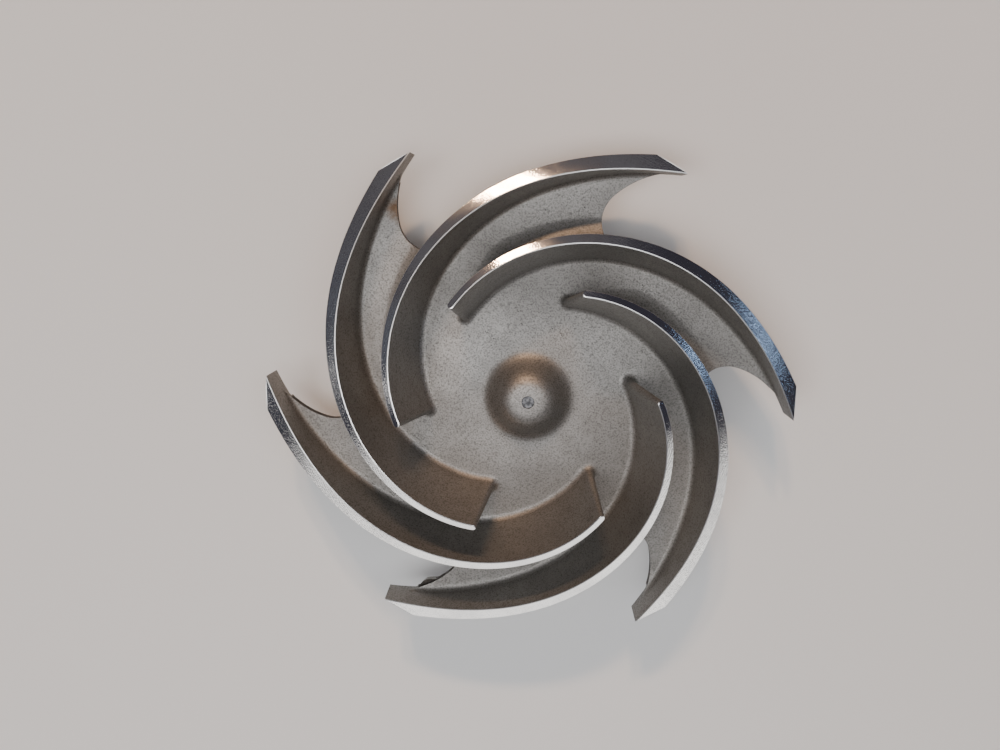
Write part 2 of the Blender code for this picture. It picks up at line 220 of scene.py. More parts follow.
class Shaper:
    """Modelling steps that every class of pieces uses.

    Attributes:
        MERGE: Distance within which corners are merged.
        NEAR: Distance within which a corner counts as lying on a ring's point.
        SEED: Size of the plane from which a chain starts.
        FIRST_RADIUS: Radius of the circle from which a loft starts.
    """

    MERGE = 0.000002
    NEAR = 0.000001
    SEED = 0.001
    FIRST_RADIUS = 0.01

    @staticmethod
    def deselect() -> None:
        """Leaves nothing selected in object mode."""
        bpy.ops.object.select_all(action="DESELECT")

    @classmethod
    def pick(cls, thing: bpy.types.Object) -> None:
        """Selects one object and makes it active."""
        cls.deselect()
        thing.select_set(True)
        bpy.context.view_layer.objects.active = thing

    @classmethod
    @contextmanager
    def editing(cls, thing: bpy.types.Object, kind: str = "VERT",
                choice: str = "SELECT") -> Iterator[bmesh.types.BMesh]:
        """Opens a piece in edit mode, and closes it again.

        Args:
            thing: The piece.
            kind: What is selected in it: VERT, EDGE or FACE.
            choice: SELECT to start with all of it selected, or DESELECT.

        Yields:
            The piece's mesh in edit mode.
        """
        cls.pick(thing)
        bpy.ops.object.mode_set(mode="EDIT")
        bpy.ops.mesh.select_mode(type=kind)
        bpy.ops.mesh.select_all(action=choice)
        yield bmesh.from_edit_mesh(thing.data)
        bpy.ops.mesh.select_mode(type="VERT")
        bpy.ops.object.mode_set(mode="OBJECT")

    @staticmethod
    def start(name: str) -> bpy.types.Object:
        """Names the primitive just added and settles its place in its mesh."""
        thing = bpy.context.active_object
        thing.name = name
        thing.data.name = name
        bpy.ops.object.transform_apply(location=True, rotation=True, scale=True)
        return thing

    @classmethod
    def chain(cls, name: str, points: Sequence[Point], closed: bool) -> bpy.types.Object:
        """Draws a line of edges by extruding one vertex from point to point.

        Args:
            name: Name of the new object.
            points: Corners of the line, in order.
            closed: Whether the last corner joins the first.

        Returns:
            The object, with its place in its mesh.
        """
        cls.deselect()
        bpy.ops.mesh.primitive_plane_add(size=cls.SEED, location=points[0])
        thing = cls.start(name)
        with cls.editing(thing):
            bpy.ops.mesh.merge(type="CENTER")
            for here, there in zip(points, points[1:]):
                move = Vector(there) - Vector(here)
                bpy.ops.mesh.extrude_region_move(TRANSFORM_OT_translate={"value": move})
            bpy.ops.mesh.select_all(action="SELECT")
            if closed:
                bpy.ops.mesh.edge_face_add()
        return thing

    @classmethod
    def turned(cls, name: str, profile: Sequence[Flat], steps: int) -> bpy.types.Object:
        """Spins a half section round the shaft axis.

        Args:
            name: Name of the new object.
            profile: Pairs of radius and height, from the axis back to the axis.
            steps: Number of facets round the axis.

        Returns:
            One closed turned solid.
        """
        thing = cls.chain(name, [(radius, 0.0, height) for radius, height in profile], False)
        with cls.editing(thing):
            bpy.ops.mesh.spin(steps=steps, angle=2.0 * math.pi, center=(0.0, 0.0, 0.0),
                              axis=(0.0, 0.0, 1.0))
            cls.close_skin()
        return thing

    @classmethod
    def close_skin(cls) -> None:
        """Merges doubles and turns every face outwards, in edit mode."""
        bpy.ops.mesh.select_all(action="SELECT")
        bpy.ops.mesh.remove_doubles(threshold=cls.MERGE)
        bpy.ops.mesh.normals_make_consistent(inside=False)

    @classmethod
    def ring_loft(cls, name: str, rings: Sequence[Ring], first: range,
                  second: range) -> bpy.types.Object:
        """Raises a closed outline through a stack of rings and caps both ends.

        A circle is laid on the first ring and extruded from ring to ring. The caps are bridged
        between the outline's two long sides, and what is left round its ends is filled.

        Args:
            name: Name of the new object.
            rings: Rings with the same number of points.
            first: Indices of one long side of the outline.
            second: Indices of the other long side.

        Returns:
            One closed solid.
        """
        cls.deselect()
        bpy.ops.mesh.primitive_circle_add(vertices=len(rings[0]), radius=cls.FIRST_RADIUS,
                                          fill_type="NOTHING")
        thing = cls.start(name)
        with cls.editing(thing) as form:
            station = form.verts.layers.int.new("station")
            form.verts.ensure_lookup_table()
            for index, vertex in enumerate(form.verts):
                vertex[station] = index
            cls.lay_ring(thing, rings[0])
            for ring in rings[1:]:
                bpy.ops.mesh.extrude_edges_move()
                cls.lay_ring(thing, ring)
            cls.bridge_sides(thing, first, second)
            bpy.ops.mesh.select_all(action="DESELECT")
            bpy.ops.mesh.select_non_manifold()
            cls.keep_ring(thing, rings[0])
            cls.bridge_sides(thing, first, second)
            bpy.ops.mesh.select_all(action="SELECT")
            bpy.ops.mesh.fill_holes(sides=0)
            cls.close_skin()
        return thing

    @staticmethod
    def stations(thing: bpy.types.Object) -> tuple[bmesh.types.BMesh, bmesh.types.BMLayerItem]:
        """The piece's mesh in edit mode, and the layer that holds each vertex's place in its ring."""
        form = bmesh.from_edit_mesh(thing.data)
        return form, form.verts.layers.int["station"]

    @classmethod
    def lay_ring(cls, thing: bpy.types.Object, ring: Ring) -> None:
        """Lays the selected vertices on the points of a ring, in edit mode."""
        form, station = cls.stations(thing)
        for vertex in form.verts:
            if vertex.select:
                vertex.co = ring[vertex[station]]
        bmesh.update_edit_mesh(thing.data)

    @classmethod
    def keep_ring(cls, thing: bpy.types.Object, ring: Ring) -> None:
        """Leaves selected only the vertices that lie on the points of a ring, in edit mode."""
        form, station = cls.stations(thing)
        for vertex in form.verts:
            if vertex.select and (vertex.co - Vector(ring[vertex[station]])).length > cls.NEAR:
                vertex.select_set(False)
        form.select_flush(False)
        form.select_flush_mode()
        bmesh.update_edit_mesh(thing.data)

    @classmethod
    def bridge_sides(cls, thing: bpy.types.Object, first: range, second: range) -> None:
        """Bridges the two long sides of the selected ring, in edit mode."""
        form, station = cls.stations(thing)
        ring = [edge for edge in form.edges if edge.select and edge.is_boundary]
        bpy.ops.mesh.select_all(action="DESELECT")
        for edge in ring:
            ends = [vertex[station] for vertex in edge.verts]
            edge.select_set(all(end in first for end in ends) or all(end in second for end in ends))
        bmesh.update_edit_mesh(thing.data)
        bpy.ops.mesh.bridge_edge_loops()

    @classmethod
    def copies(cls, thing: bpy.types.Object, turns: Sequence[Matrix]) -> bpy.types.Object:
        """Copies one solid to every turn and joins the copies into one object.

        Args:
            thing: The solid as modelled; it becomes the first copy.
            turns: Rotation of each copy.

        Returns:
            The joined object.
        """
        copies = [thing]
        for turn in turns[1:]:
            twin = thing.copy()
            twin.data = thing.data.copy()
            bpy.context.scene.collection.objects.link(twin)
            twin.data.transform(turn)
            copies.append(twin)
        thing.data.transform(turns[0])
        cls.deselect()
        for twin in copies:
            twin.select_set(True)
        bpy.context.view_layer.objects.active = thing
        bpy.ops.object.join()
        return thing

    @classmethod
    def combine(cls, target: bpy.types.Object, tool: bpy.types.Object, cut: Cut) -> None:
        """Applies an exact Boolean step to the target and removes the tool."""
        cls.pick(target)
        step = target.modifiers.new(tool.name, "BOOLEAN")
        step.operation = cut.value
        step.solver = "EXACT"
        step.object = tool
        bpy.ops.object.modifier_apply(modifier=step.name)
        bpy.data.objects.remove(tool, do_unlink=True)

    @classmethod
    def paint(cls, thing: bpy.types.Object, slot: int, wanted: Test) -> None:
        """Gives a material slot to the faces that pass a test.

        Args:
            thing: The piece.
            slot: Index of the material slot.
            wanted: Test on a face's centre and normal.
        """
        thing.active_material_index = slot
        with cls.editing(thing, "FACE", "DESELECT") as form:
            for face in form.faces:
                face.select_set(wanted(face.calc_center_median(), face.normal))
            bmesh.update_edit_mesh(thing.data)
            bpy.ops.object.material_slot_assign()

    @classmethod
    def smooth(cls, thing: bpy.types.Object, degrees: float) -> None:
        """Shades a solid smooth except across edges sharper than an angle in degrees."""
        cls.pick(thing)
        bpy.ops.object.shade_smooth_by_angle(angle=math.radians(degrees))

    @classmethod
    def crease(cls, thing: bpy.types.Object, slot: int) -> None:
        """Shades the border of a material slot sharp, so that the faces beside it stay flat."""
        thing.active_material_index = slot
        with cls.editing(thing, "FACE", "DESELECT"):
            bpy.ops.object.material_slot_select()
            bpy.ops.mesh.region_to_loop()
            bpy.ops.mesh.mark_sharp()


@dataclass(frozen=True)
class Level:
    """One step in the stack of a vane's outlines.

    Attributes:
        height: Height of the outline, against the place along the vane and the side.
        grow: Growth of the outline beyond the vane's own walls.
        on_shroud: Rise above the shroud's front face, for an outline that follows it.
        on_front: Whether the outline lies on the machined front contour.
    """

    height: Callable[[float, Side], float]
    grow: Callable[[float, Side], float]
    on_shroud: Callable[[float, Side], float] | None = None
    on_front: bool = False


@dataclass
class Vane:
    """One backward-curved vane, raised as a stack of rings from the shroud to the front.

    The points of both walls are crowded towards the leading edge. Where a wall meets the outside
    diameter is found by halving, and where it meets the machined front in a few passes.
    """

    contours: Contours
    run_out: float = 0.004
    front_start: float = 0.0567
    root_start: float = 0.0462
    front_angles: tuple[Flat, ...] = (
        (0.0567, 18.6), (0.104, 18.8), (0.115, 22.0), (0.127, 27.5))
    root_angles: tuple[Flat, ...] = (
        (0.0462, 18.5), (0.060, 23.5), (0.100, 24.0), (0.127, 28.5))
    thickness_inner: float = 0.0031
    thickness_outer: float = 0.0080
    root_draft: float = 0.0012
    nose_share: float = 0.009
    nose_stretch: float = 1.25
    fillet: float = 0.0026
    flank_spread: float = 0.0145
    flank_rise: float = 0.0085
    flank_bluntness: float = 1.4
    flank_from: float = 0.0465
    flank_to: float = 0.058
    fillet_start: float = math.radians(12.0)
    fillet_end: float = math.radians(80.0)
    sink: float = 0.0003
    foot_inset: float = 0.0004
    concave_chamfer: float = 0.0005
    convex_chamfer: float = 0.0001
    chamfer_drop: float = 0.35
    below: float = 0.0015
    along: int = 110
    round_nose: int = 13
    across_tip: int = 7
    fillet_levels: int = 9
    wall_levels: int = 6
    crowding: float = 1.15
    edge_passes: int = 5
    end_from: float = 0.7
    halvings: int = 40
    front_law: BladeLaw = field(init=False)
    root_law: BladeLaw = field(init=False)

    def __post_init__(self) -> None:
        """Makes the two guide spirals."""
        self.front_law = BladeLaw(self.front_angles, self.contours.outer_radius)
        self.root_law = BladeLaw(self.root_angles, self.contours.outer_radius)

    def root_radius(self, share: float) -> float:
        """Radius of the root guide at a place along the vane."""
        return self.root_start + share * (self.contours.outer_radius + self.run_out - self.root_start)

    def front_radius(self, share: float) -> float:
        """Radius of the front guide at a place along the vane."""
        return self.front_start + share * (self.contours.outer_radius + self.run_out - self.front_start)

    def root_height(self, share: float) -> float:
        """Height of the shroud at the root guide."""
        return self.contours.shroud(self.root_radius(share))

    def front_height(self, share: float) -> float:
        """Height of the vane's front at the front guide."""
        return self.contours.front(self.front_radius(share))

    def edge_height(self, share: float, side: Side, grow: float) -> float:
        """Height at which one wall, grown, meets the machined front contour."""
        height = self.front_height(share)
        for _ in range(self.edge_passes):
            height = self.contours.front(self.wall(share, height, side, grow).length)
        return height

    def wall(self, share: float, height: float, side: Side, grow: float = 0.0) -> Vector:
        """Finds a point of one wall.

        Args:
            share: Place along the vane, from 0 at the leading edge.
            height: Height of the point.
            side: Which wall.
            grow: Distance outside the wall.

        Returns:
            The point in the plane.
        """
        root, root_normal = self.root_law.place(self.root_radius(share))
        front, front_normal = self.front_law.place(self.front_radius(share))
        low = self.root_height(share)
        up = (height - low) / (self.front_height(share) - low)
        width = self.thickness_inner + share * (self.thickness_outer - self.thickness_inner)
        width += self.root_draft * (1.0 - share) * (1.0 - up)
        away = width + grow if side is Side.CONVEX else -grow
        return root.lerp(front, up) + root_normal.lerp(front_normal, up) * away

    def settle(self, flat: Vector, share: float, side: Side, level: Level) -> Point:
        """Gives a point in the plane its height on a level."""
        if level.on_front:
            return (flat.x, flat.y, self.contours.front(flat.length))
        if level.on_shroud is not None:
            return (flat.x, flat.y, self.contours.shroud(flat.length) + level.on_shroud(share, side))
        return (flat.x, flat.y, level.height(share, side))

    def end_share(self, level: Level, side: Side) -> float:
        """Place along the vane where one wall meets the outside diameter, at one level."""
        low, high = self.end_from, 1.0
        for _ in range(self.halvings):
            middle = 0.5 * (low + high)
            spot = self.wall(middle, level.height(middle, side), side, level.grow(middle, side))
            if spot.length < self.contours.outer_radius:
                low = middle
            else:
                high = middle
        return 0.5 * (low + high)

    def outline(self, level: Level) -> Ring:
        """Runs round the vane at one level.

        Args:
            level: The level.

        Returns:
            The ring, from the tip along the concave wall, round the nose, back along the convex
            wall and across the tip.
        """
        ring: Ring = []
        nose = self.nose_share

        def run(side: Side, share: float) -> None:
            """Adds one wall point."""
            flat = self.wall(share, level.height(share, side), side, level.grow(share, side))
            ring.append(self.settle(flat, share, side, level))

        concave_end, convex_end = (self.end_share(level, side) for side in (Side.CONCAVE, Side.CONVEX))
        for index in range(self.along + 1):
            left = 1.0 - index / self.along
            run(Side.CONCAVE, nose + (concave_end - nose) * left ** self.crowding)
        self.round_the_nose(ring, level)
        for index in range(self.along + 1):
            run(Side.CONVEX, nose + (convex_end - nose) * (index / self.along) ** self.crowding)
        last, first = Vector(ring[-1]), Vector(ring[0])
        from_angle, to_angle = math.atan2(last.y, last.x), math.atan2(first.y, first.x)
        for index in range(1, self.across_tip + 1):
            part = index / (self.across_tip + 1)
            angle = from_angle + (to_angle - from_angle) * part
            rim = self.contours.outer_radius
            height = last.z + (first.z - last.z) * part
            ring.append((rim * math.cos(angle), rim * math.sin(angle), height))
        return ring

    def round_the_nose(self, ring: Ring, level: Level) -> None:
        """Adds the half round of the leading edge, from the concave to the convex wall."""
        nose = self.nose_share
        near, far = (self.wall(nose, level.height(nose, side), side)
                     for side in (Side.CONCAVE, Side.CONVEX))
        across = 0.5 * (far - near)
        ahead = Vector((-across.y, across.x)).normalized()
        for index in range(1, self.round_nose + 1):
            turn = math.pi * index / (self.round_nose + 1)
            side = Side.CONCAVE if turn < 0.5 * math.pi else Side.CONVEX
            grow = level.grow(nose, side)
            half = across.length + grow
            reach = self.nose_stretch * across.length + grow
            flat = 0.5 * (near + far) - across.normalized() * half * math.cos(turn)
            ring.append(self.settle(flat + ahead * reach * math.sin(turn), nose, side, level))

    def sides(self) -> tuple[range, range]:
        """Indices of the concave and the convex wall in every ring."""
        convex_start = self.along + 1 + self.round_nose
        return range(self.along + 1), range(convex_start, convex_start + self.along + 1)

    def foot_shape(self, share: float, side: Side) -> tuple[float, float, float]:
        """Shape of the foot at a place along the vane.

        It grows into a broad, even flank on the convex side, and stays a round fillet on the
        concave side.

        Args:
            share: Place along the vane.
            side: Which wall.

        Returns:
            Spread and rise of the foot, and the exponent of its curve, which is 1 for a round one.
        """
        if side is Side.CONCAVE:
            return self.fillet, self.fillet, 1.0
        growth = smooth_step(self.root_radius(share), self.flank_from, self.flank_to)
        return (self.fillet + growth * (self.flank_spread - self.fillet),
                self.fillet + growth * (self.flank_rise - self.fillet),
                1.0 + growth * (self.flank_bluntness - 1.0))

    def fillet_level(self, turn: float) -> Level:
        """Level of the fillet at a turn of its quarter round."""

        def rise(share: float, side: Side) -> float:
            """Rise above the shroud."""
            _, height, blunt = self.foot_shape(share, side)
            return height * (1.0 - max(math.cos(turn), 0.0) ** blunt)

        def grow(share: float, side: Side) -> float:
            """Spread beyond the wall."""
            spread, _, blunt = self.foot_shape(share, side)
            return spread * (1.0 - math.sin(turn) ** blunt)

        return Level(lambda share, side: self.root_height(share) + rise(share, side), grow, rise)

    def sunk_level(self, depth: float) -> Level:
        """Level of the fillet's foot, sunk below the shroud's face by a depth."""
        start = self.fillet_start

        def grow(share: float, side: Side) -> float:
            """Spread beyond the wall, on along the fillet's first slope."""
            spread, height, blunt = self.foot_shape(share, side)
            slope = height * blunt * math.cos(start) ** (blunt - 1.0) * math.sin(start) / (
                spread * blunt * math.sin(start) ** (blunt - 1.0) * math.cos(start))
            tail = (height * (1.0 - math.cos(start) ** blunt) + self.sink) / slope
            return spread * (1.0 - math.sin(start) ** blunt) + tail

        return Level(lambda share, side: self.root_height(share) - depth, grow,
                     lambda share, side: -depth)

    def foot_rings(self) -> list[Ring]:
        """Rings of the fillets round the vane's foot, which end inside the vane."""
        rings = [self.outline(self.sunk_level(0.5 * self.contours.shroud_thickness)),
                 self.outline(self.sunk_level(self.sink))]
        for index in range(self.fillet_levels + 1):
            part = index / self.fillet_levels
            turn = self.fillet_start + (self.fillet_end - self.fillet_start) * part
            rings.append(self.outline(self.fillet_level(turn)))
        top = self.fillet_level(0.5 * math.pi)
        rings.append(self.outline(Level(top.height, lambda share, side: -self.foot_inset, top.on_shroud)))
        return rings

    def vane_rings(self) -> list[Ring]:
        """Rings of the vane itself, from under the shroud up to its machined front."""
        floor = self.contours.shroud_back - self.below
        rings = [self.outline(Level(lambda share, side: floor, lambda share, side: 0.0))]
        for index in range(self.wall_levels + 1):
            rings.append(self.outline(self.wall_level(index / self.wall_levels)))
        rings.append(self.outline(Level(
            lambda share, side: self.edge_height(share, side, -self.chamfer(side)),
            lambda share, side: -self.chamfer(side), on_front=True)))
        return rings

    def chamfer(self, side: Side) -> float:
        """Size of the front edge's chamfer."""
        return self.concave_chamfer if side is Side.CONCAVE else self.convex_chamfer

    def wall_level(self, part: float) -> Level:
        """Level part of the way from the root up to the foot of the front's chamfer."""

        def height(share: float, side: Side) -> float:
            """Height of the level."""
            low = self.root_height(share)
            high = self.edge_height(share, side, 0.0) - self.chamfer_drop * self.chamfer(side)
            return low + part * (high - low)

        return Level(height, lambda share, side: 0.0)

    def build_feet(self) -> bpy.types.Object:
        """Builds the fillets of all vanes as one object."""
        foot = Shaper.ring_loft("vane_foot", self.foot_rings(), *self.sides())
        return Shaper.copies(foot, self.contours.turns())

    def build(self) -> bpy.types.Object:
        """Builds all vanes of the impeller as one object."""
        vane = Shaper.ring_loft("vane", self.vane_rings(), *self.sides())
        return Shaper.copies(vane, self.contours.turns())


@dataclass
class PumpOutRib:
    """One curved rib on the shroud's rear face, along the foot of a vane."""

    contours: Contours
    law: BladeLaw
    inner: float = 0.044
    outer: float = 0.1146
    long_outer: float = 0.1172
    long_copy: int = 3
    width: float = 0.0075
    height: float = 0.005
    chamfer: float = 0.0003
    fillet: float = 0.0015
    along: int = 60
    round_end: int = 9
    fillet_steps: int = 5
    fillet_least: float = 0.25

    def outline(self, outer: float, grow: float, height: float) -> Ring:
        """Ring round the rib that ends at a radius, grown outwards, at a height."""
        ring: Ring = []
        half = 0.5 * self.width + grow
        for index in range(self.along + 1):
            point, normal = self.law.place(outer + (self.inner - outer) * index / self.along)
            ring.append((*(point - normal * half), height))
        self.round_end_of(ring, self.inner, -half, height)
        for index in range(self.along + 1):
            point, normal = self.law.place(self.inner + (outer - self.inner) * index / self.along)
            ring.append((*(point + normal * half), height))
        self.round_end_of(ring, outer, half, height)
        return ring

    def round_end_of(self, ring: Ring, radius: float, half: float, height: float) -> None:
        """Adds the half circle round one end.

        Args:
            ring: The ring so far.
            radius: Radius at which the end's centre lies.
            half: Half the width, negative at the inner end.
            height: Height of the ring.
        """
        point, normal = self.law.place(radius)
        outward = Vector((normal.y, -normal.x))
        for index in range(1, self.round_end + 1):
            turn = math.pi * index / (self.round_end + 1)
            spot = point + (outward * math.sin(turn) + normal * math.cos(turn)) * half
            ring.append((*spot, height))

    def build(self) -> list[bpy.types.Object]:
        """Builds the even ribs as one object and the longer one as another."""
        turns = self.contours.turns()
        long_turn = turns.pop(self.long_copy)
        return [Shaper.copies(self.raise_rib("ribs", self.outer), turns),
                Shaper.copies(self.raise_rib("long_rib", self.long_outer), [long_turn])]

    def raise_rib(self, name: str, outer: float) -> bpy.types.Object:
        """Raises one rib that ends at a radius."""
        back = self.contours.shroud_back
        face = back - self.height
        rings = [self.outline(outer, -self.chamfer, face), self.outline(outer, 0.0, face + self.chamfer)]
        for index in range(self.fillet_steps + 1):
            turn = max(0.5 * math.pi * (1.0 - index / self.fillet_steps), self.fillet_least)
            rise = self.fillet * (1.0 - math.cos(turn))
            rings.append(self.outline(outer, self.fillet * (1.0 - math.sin(turn)), back - rise))
        rings.append(self.outline(outer, self.fillet, back + 0.5 * self.contours.shroud_thickness))
        second = self.along + 1 + self.round_end
        return Shaper.ring_loft(name, rings, range(self.along + 1),
                                range(second, second + self.along + 1))


@dataclass
class ShroudAndHub:
    """The turned body: shroud disc, nose dome, hub boss, gasket seat and shaft bore."""

    contours: Contours
    hub_radius: float = 0.027
    hub_root_radius: float = 0.034
    hub_chamfer: float = 0.001
    bore_radius: float = 0.0125
    bore_depth: float = 0.034
    seat_radius: float = 0.0165
    seat_depth: float = 0.005
    drill_cone: float = 0.006
    mark_radius: float = 0.0030
    mark_depth: float = 0.0005
    mark_floor: float = 0.92
    mark_side: float = 0.85
    front_points: int = 64
    front_crowding: float = 1.2
    back_radii: tuple[float, ...] = (0.1, 0.08, 0.06, 0.045)
    bend_steps: int = 12
    seat_break: float = 0.0005
    bore_break: float = 0.001
    turn_steps: int = 240

    def profile(self) -> list[Flat]:
        """Half section, from the nose round the rim and hub into the bore's end on the axis."""
        contours = self.contours
        top = contours.shroud(self.mark_radius)
        points = [(0.0, top - self.mark_depth),
                  (self.mark_floor * self.mark_radius, top - self.mark_side * self.mark_depth)]
        for index in range(self.front_points + 1):
            part = (index / self.front_points) ** self.front_crowding
            radius = self.mark_radius + (contours.blank_radius - self.mark_radius) * part
            points.append((radius, contours.shroud(radius)))
        bend = self.hub_root_radius - self.hub_radius
        points.append((contours.blank_radius, contours.shroud_back))
        for radius in self.back_radii:
            points.append((radius, contours.shroud_back))
        for index in range(self.bend_steps + 1):
            turn = 0.5 * math.pi * index / self.bend_steps
            points.append((self.hub_root_radius - bend * math.sin(turn),
                           contours.shroud_back - bend * (1.0 - math.cos(turn))))
        points += [
            (self.hub_radius, self.hub_chamfer), (self.hub_radius - self.hub_chamfer, 0.0),
            (self.seat_radius + self.seat_break, 0.0), (self.seat_radius, self.seat_break),
            (self.seat_radius, self.seat_depth), (self.bore_radius + self.bore_break, self.seat_depth),
            (self.bore_radius, self.seat_depth + self.bore_break), (self.bore_radius, self.bore_depth),
            (0.0, self.bore_depth + self.drill_cone),
        ]
        return points

    def straight_height(self) -> float:
        """Height up to which the hub's side is straight."""
        return self.contours.shroud_back - (self.hub_root_radius - self.hub_radius)

    def build(self) -> bpy.types.Object:
        """Builds the turned body."""
        return Shaper.turned("casting_body", self.profile(), self.turn_steps)


@dataclass
class Scallops:
    """The six openings cut from the rim between one vane's tip and the next vane's back."""

    contours: Contours
    law: BladeLaw
    centre: Flat = (0.0970, 0.0052)
    radius: float = 0.0163
    outer_arc: float = 0.0442
    turn: float = math.radians(75.0)
    start: float = math.radians(44.0)
    end: float = math.radians(184.0)
    inset: float = 0.0021
    arc_points: int = 24
    spare: float = 0.002
    above: float = 0.012
    edge_clear: float = 0.001
    edge_round: float = 0.0007
    edge_segments: int = 3
    upright: float = 0.05
    facing_up: float = 0.3
    reach: float = 0.0014
    outline_points: list[Flat] = field(init=False, repr=False)

    def __post_init__(self) -> None:
        """Keeps the outline of one opening."""
        self.outline_points = self.outline()

    def outline(self) -> list[Flat]:
        """Outline of one opening, for the vane whose tip lies on +X."""
        cx, cy = self.centre
        reach = self.radius - self.outer_arc
        ox, oy = cx + reach * math.cos(self.turn), cy + reach * math.sin(self.turn)
        points = []
        for index in range(self.arc_points):
            angle = self.start + (self.turn - self.start) * index / self.arc_points
            points.append((ox + self.outer_arc * math.cos(angle), oy + self.outer_arc * math.sin(angle)))
        for index in range(2 * self.arc_points + 1):
            angle = self.turn + (self.end - self.turn) * index / (2 * self.arc_points)
            points.append((cx + self.radius * math.cos(angle), cy + self.radius * math.sin(angle)))
        inner, outer = math.hypot(*points[-1]), self.contours.blank_radius + self.spare
        pitch = Matrix.Rotation(-2.0 * math.pi / self.contours.vane_count, 2)
        for index in range(1, self.arc_points + 1):
            point, normal = self.law.place(inner + (outer - inner) * index / self.arc_points)
            points.append(tuple(pitch @ (point + normal * self.inset)))
        first = math.atan2(points[-1][1], points[-1][0])
        last = math.atan2(points[0][1], points[0][0])
        outside = self.contours.outer_radius + self.spare
        for index in range(self.arc_points + 1):
            angle = first + (last - first) * index / self.arc_points
            points.append((outside * math.cos(angle), outside * math.sin(angle)))
        return points

    def build(self) -> bpy.types.Object:
        """Builds the six cutters as one object."""
        low = self.contours.shroud_back - 2.0 * self.spare
        high = self.contours.shroud_front + self.above
        cutter = Shaper.chain("scallop", [(x, y, low) for x, y in self.outline_points], True)
        with Shaper.editing(cutter):
            bpy.ops.mesh.extrude_region_move(TRANSFORM_OT_translate={"value": (0.0, 0.0, high - low)})
            Shaper.close_skin()
        return Shaper.copies(cutter, self.contours.turns())

    def near(self, spot: Vector) -> bool:
        """Whether a place lies on one of the six openings' outlines, seen along the shaft."""
        flat = Vector((spot.x, spot.y, 0.0))
        for turn in self.contours.turns():
            home = turn.inverted() @ flat
            if any(math.dist((home.x, home.y), point) < self.reach for point in self.outline_points):
                return True
        return False

    def round_edges(self, casting: bpy.types.Object) -> None:
        """Rounds the front edges that the scallops have left on the casting."""
        back = self.contours.shroud_back + self.edge_clear
        rim = self.contours.blank_radius - self.edge_clear
        with Shaper.editing(casting, "EDGE", "DESELECT") as form:
            for edge in form.edges:
                leans = sorted(face.normal.z for face in edge.link_faces)
                low = all(vertex.co.z > back and vertex.co.xy.length < rim for vertex in edge.verts)
                if low and len(leans) == 2 and abs(leans[0]) < self.upright and leans[1] > self.facing_up:
                    edge.select_set(True)
            bmesh.update_edit_mesh(casting.data)
            bpy.ops.mesh.bevel(offset=self.edge_round, segments=self.edge_segments, affect="EDGES",
                               clamp_overlap=True)


@dataclass
class ShaftThread:
    """The thread in the shaft bore, as one helical ridge on the bore's wall."""

    bore_radius: float = 0.0125
    ridge: float = 0.0013
    root: float = 0.0003
    pitch: float = 0.003
    tooth: float = 0.42
    crest_half: float = 0.0002
    start: float = 0.0065
    turns: int = 8
    steps: int = 64

    def build(self) -> bpy.types.Object:
        """Sweeps a small tooth along the helix."""
        outer = self.bore_radius + self.root
        half = self.tooth * self.pitch
        crest, middle = self.bore_radius - self.ridge, self.start + half
        tooth = [(outer, 0.0, self.start), (crest, 0.0, middle - self.crest_half),
                 (crest, 0.0, middle + self.crest_half), (outer, 0.0, self.start + 2.0 * half)]
        thread = Shaper.chain("bore_thread", tooth, True)
        Shaper.pick(thread)
        sweep = thread.modifiers.new("Helix", "SCREW")
        sweep.axis = "Z"
        sweep.steps = self.steps
        sweep.render_steps = self.steps
        sweep.iterations = self.turns
        sweep.screw_offset = self.pitch
        bpy.ops.object.modifier_apply(modifier=sweep.name)
        with Shaper.editing(thread):
            bpy.ops.mesh.normals_make_consistent(inside=False)
        return thread


class Signal:
    """A shader socket that takes part in Python expressions."""

    def __init__(self, tree: bpy.types.NodeTree, socket: bpy.types.NodeSocket) -> None:
        """Keeps the tree and the socket."""
        self.tree = tree
        self.socket = socket

    def maths(self, operation: str, *others: "Signal | float", clamp: bool = False) -> "Signal":
        """Adds a Math node on this signal.

        Args:
            operation: The Math node's operation.
            others: Its second and third values.
            clamp: Whether the result is kept between 0 and 1.

        Returns:
            The result.
        """
        node = self.tree.nodes.new("ShaderNodeMath")
        node.operation = operation
        node.use_clamp = clamp
        for socket, value in zip(node.inputs, (self, *others)):
            if isinstance(value, Signal):
                self.tree.links.new(value.socket, socket)
            else:
                socket.default_value = value
        return Signal(self.tree, node.outputs[0])

    def __add__(self, other: "Signal | float") -> "Signal":
        """Sum."""
        return self.maths("ADD", other)

    def __sub__(self, other: "Signal | float") -> "Signal":
        """Difference."""
        return self.maths("SUBTRACT", other)

    def __rsub__(self, other: float) -> "Signal":
        """A number less this signal."""
        return self.maths("MULTIPLY_ADD", -1.0, other)

    def __mul__(self, other: "Signal | float") -> "Signal":
        """Product."""
        return self.maths("MULTIPLY", other)

    def __truediv__(self, other: "Signal | float") -> "Signal":
        """Quotient."""
        return self.maths("DIVIDE", other)

    def above(self, low: "Signal | float", high: "Signal | float") -> "Signal":
        """Rises from 0 to 1 between two limits."""
        return ((self - low) / (high - low)).maths("MULTIPLY", 1.0, clamp=True)

    def most(self, other: "Signal | float") -> "Signal":
        """The larger of two."""
        return self.maths("MAXIMUM", other)


@dataclass(frozen=True)
class Layer:
    """One layer of noise in a finish.

    Attributes:
        scale: Cells per metre.
        detail: Detail of the noise.
        limits: Noise values at which the layer begins to show and at which it is full.
        share: How far it then covers what lies below it.
        rough: Roughness of the noise.
    """

    scale: float
    detail: float
    limits: Flat = (0.0, 1.0)
    share: float = 1.0
    rough: float = 0.55


